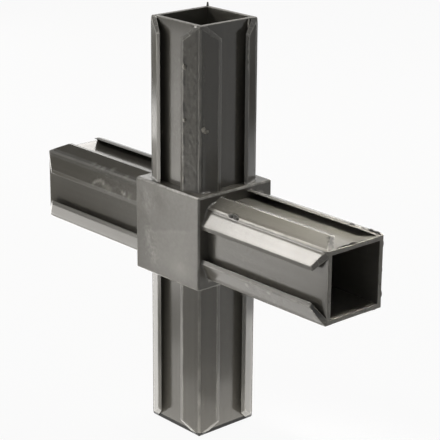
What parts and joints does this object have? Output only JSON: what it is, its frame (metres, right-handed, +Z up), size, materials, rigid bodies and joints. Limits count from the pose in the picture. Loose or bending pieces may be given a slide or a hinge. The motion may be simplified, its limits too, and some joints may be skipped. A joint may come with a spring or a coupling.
{
  "type": "square tube cross connector",
  "caption": "One-piece moulded plastic cross with hollow square legs and flared spring wings that push into the ends of square tube, round a cube hub that sits flush with the tube.",
  "frame": {"origin": "centre of the hub, which is also the centre of the whole cross", "axes": "+Z up along the upper leg, +X along the right-hand leg, and Y through the hub's two broad faces that carry no leg, with the front face on -Y"},
  "size_m": [0.11, 0.025, 0.11],
  "materials": {
    "grey_plastic": "satin moulded"
  },
  "bodies": {
    "root": {"cross_connector": "grey_plastic"}
  },
  "joints": []
}
